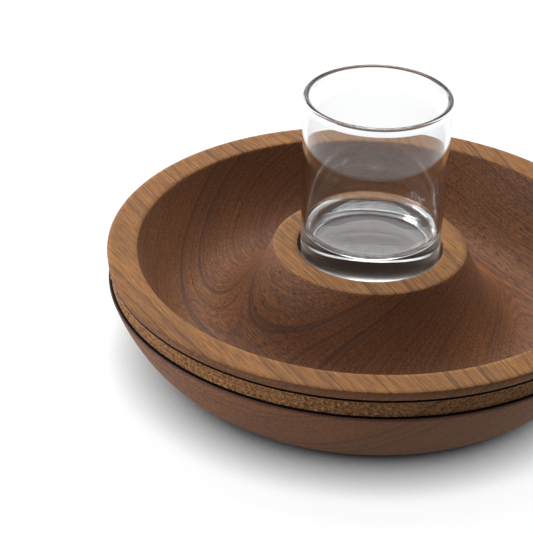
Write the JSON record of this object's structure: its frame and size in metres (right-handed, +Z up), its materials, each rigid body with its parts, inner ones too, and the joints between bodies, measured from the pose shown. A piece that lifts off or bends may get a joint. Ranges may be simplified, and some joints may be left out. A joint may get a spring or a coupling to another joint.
{
  "type": "chip and dip server",
  "caption": "Round turned wooden bowl with a ring-shaped trough and a raised central boss, and a straight-sided clear glass that stands loose in the boss's socket.",
  "frame": {"origin": "centre of the bowl's flat foot, on the table", "axes": "+Z up along the turning axis; +X and +Y level, and both pieces are round, so their directions are free"},
  "size_m": [0.306, 0.306, 0.1665],
  "materials": {
    "oiled_wood": "oiled satin walnut, turned, with two scorched grooves",
    "clear_glass": "smooth clear glass"
  },
  "bodies": {
    "server": {"server_body": "oiled_wood"},
    "glass": {"dip_glass": "clear_glass"}
  },
  "joints": [
    {"name": "glass_lift", "type": "slide", "parent": "server", "child": "glass", "axis": [0, 0, 1], "range_m": [0, 0.1]}
  ]
}
